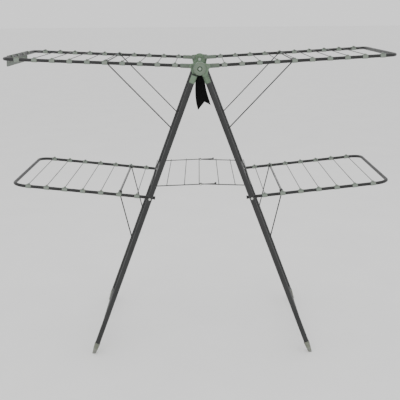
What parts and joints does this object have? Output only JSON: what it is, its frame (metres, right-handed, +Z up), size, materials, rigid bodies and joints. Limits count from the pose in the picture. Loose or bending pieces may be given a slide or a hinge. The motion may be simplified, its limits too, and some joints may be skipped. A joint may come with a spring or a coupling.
{
  "type": "clothes drying rack",
  "caption": "Folding winged clothes airer: hinged A-frame legs, top wings and lower shelves with line wires held by wire braces, and a wire grid between the legs.",
  "frame": {"origin": "on the floor under the middle of the rack", "axes": "+X towards the right wing, +Y to the rear, +Z up"},
  "size_m": [1.4273, 0.6024, 1.1446],
  "materials": {
    "leg_steel": "satin",
    "rail_steel": "satin",
    "brace_wire": "satin",
    "line_wire": "satin",
    "black_plastic": "matte",
    "green_plastic": "matte",
    "clip_plastic": "matte",
    "strip_plastic": "matte",
    "black_cloth": "matte",
    "bolt_steel": "satin"
  },
  "bodies": {
    "leg_right": {"right_leg_tube_front": "leg_steel", "right_leg_tube_rear": "leg_steel", "right_bottom_bar": "leg_steel", "right_upper_bar": "leg_steel", "right_foot_caps": "green_plastic", "right_foot_tips": "black_plastic", "right_hub_sockets": "green_plastic", "right_wing_pins": "bolt_steel", "right_shelf_bolts": "bolt_steel", "right_shelf_spacers": "black_plastic", "right_top_brace_sockets": "black_plastic", "right_low_brace_sockets": "black_plastic", "hub_pins": "bolt_steel", "hub_covers": "green_plastic"},
    "tie": {"tie_strap": "black_cloth"},
    "leg_left": {"left_leg_tube_front": "leg_steel", "left_leg_tube_rear": "leg_steel", "left_bottom_bar": "leg_steel", "left_upper_bar": "leg_steel", "left_foot_caps": "green_plastic", "left_foot_tips": "black_plastic", "left_hub_sockets": "green_plastic", "left_wing_pins": "bolt_steel", "left_shelf_bolts": "bolt_steel", "left_shelf_spacers": "black_plastic", "left_top_brace_sockets": "black_plastic", "left_low_brace_sockets": "black_plastic"},
    "grid_right": {"grid_right_rails": "line_wire", "grid_right_wires": "line_wire", "grid_hinge_pins": "bolt_steel"},
    "grid_left": {"grid_left_rails": "line_wire", "grid_left_wires": "line_wire"},
    "wing_right": {"right_wing_frame": "rail_steel", "right_wing_wires": "line_wire", "right_wing_clips": "clip_plastic", "right_wing_end_fittings": "green_plastic", "right_wing_brace_catches": "black_plastic"},
    "shelf_right": {"right_shelf_frame": "rail_steel", "right_shelf_wires": "line_wire", "right_shelf_clips": "clip_plastic", "right_shelf_end_plugs": "black_plastic", "right_shelf_brace_catches": "black_plastic"},
    "top_brace_right": {"right_top_brace": "brace_wire"},
    "low_brace_right": {"right_low_brace": "brace_wire"},
    "wing_left": {"left_wing_frame": "rail_steel", "left_wing_wires": "line_wire", "left_wing_clips": "clip_plastic", "left_wing_end_fittings": "green_plastic", "left_wing_brace_catches": "black_plastic", "hanger_strip": "strip_plastic", "hanger_strip_clips": "strip_plastic"},
    "shelf_left": {"left_shelf_frame": "rail_steel", "left_shelf_wires": "line_wire", "left_shelf_clips": "clip_plastic", "left_shelf_end_plugs": "black_plastic", "left_shelf_brace_catches": "black_plastic"},
    "top_brace_left": {"left_top_brace": "brace_wire"},
    "low_brace_left": {"left_low_brace": "brace_wire"}
  },
  "joints": [
    {"name": "leg_fold", "type": "hinge", "parent": "leg_right", "child": "leg_left", "pos_m": [0, 0, 1.094], "axis": [0, -1, 0], "range_deg": [0, 38.4]},
    {"name": "grid_right_fold", "type": "hinge", "parent": "leg_right", "child": "grid_right", "pos_m": [0.17789, 0, 0.64915], "axis": [0, 1, 0], "range_deg": [0, 59.2]},
    {"name": "grid_centre_fold", "type": "hinge", "parent": "grid_right", "child": "grid_left", "pos_m": [0, 0, 0.66366], "axis": [0, -1, 0], "range_deg": [0, 156.76]},
    {"name": "tie_swing", "type": "hinge", "parent": "leg_right", "child": "tie", "pos_m": [0, 0, 1.094], "axis": [0, -1, 0], "range_deg": [0, 19.25]},
    {"name": "right_wing_fold", "type": "hinge", "parent": "leg_right", "child": "wing_right", "pos_m": [0.028, 0, 1.10232], "axis": [0, 1, 0], "range_deg": [0, 70.08]},
    {"name": "right_shelf_fold", "type": "hinge", "parent": "leg_right", "child": "shelf_right", "pos_m": [0.1895, 0, 0.61826], "axis": [0, 1, 0], "range_deg": [0, 72.46]},
    {"name": "right_top_brace_fold", "type": "hinge", "parent": "leg_right", "child": "top_brace_right", "pos_m": [0.09609, 0, 0.86678], "axis": [0, 1, 0], "range_deg": [0, 112.8]},
    {"name": "right_low_brace_fold", "type": "hinge", "parent": "leg_right", "child": "low_brace_right", "pos_m": [0.25776, 0, 0.43666], "axis": [0, 1, 0], "range_deg": [0, 143.42]},
    {"name": "left_wing_fold", "type": "hinge", "parent": "leg_left", "child": "wing_left", "pos_m": [-0.028, 0, 1.10232], "axis": [0, -1, 0], "range_deg": [0, 69.72]},
    {"name": "left_shelf_fold", "type": "hinge", "parent": "leg_left", "child": "shelf_left", "pos_m": [-0.1895, 0, 0.61826], "axis": [0, -1, 0], "range_deg": [0, 72.46]},
    {"name": "left_top_brace_fold", "type": "hinge", "parent": "leg_left", "child": "top_brace_left", "pos_m": [-0.09609, 0, 0.86678], "axis": [0, -1, 0], "range_deg": [0, 112.56]},
    {"name": "left_low_brace_fold", "type": "hinge", "parent": "leg_left", "child": "low_brace_left", "pos_m": [-0.25776, 0, 0.43666], "axis": [0, -1, 0], "range_deg": [0, 143.42]}
  ],
  "couplings": [
    {"joint": "grid_right_fold", "follows": "leg_fold", "ratio": 1.5404},
    {"joint": "grid_centre_fold", "follows": "leg_fold", "ratio": 4.0809},
    {"joint": "tie_swing", "follows": "leg_fold", "ratio": 0.5},
    {"joint": "right_shelf_fold", "follows": "right_wing_fold", "ratio": 1.0338},
    {"joint": "right_top_brace_fold", "follows": "right_wing_fold", "ratio": 1.6094},
    {"joint": "right_low_brace_fold", "follows": "right_wing_fold", "ratio": 2.0464},
    {"joint": "left_shelf_fold", "follows": "left_wing_fold", "ratio": 1.0392},
    {"joint": "left_top_brace_fold", "follows": "left_wing_fold", "ratio": 1.6144},
    {"joint": "left_low_brace_fold", "follows": "left_wing_fold", "ratio": 2.0569}
  ]
}
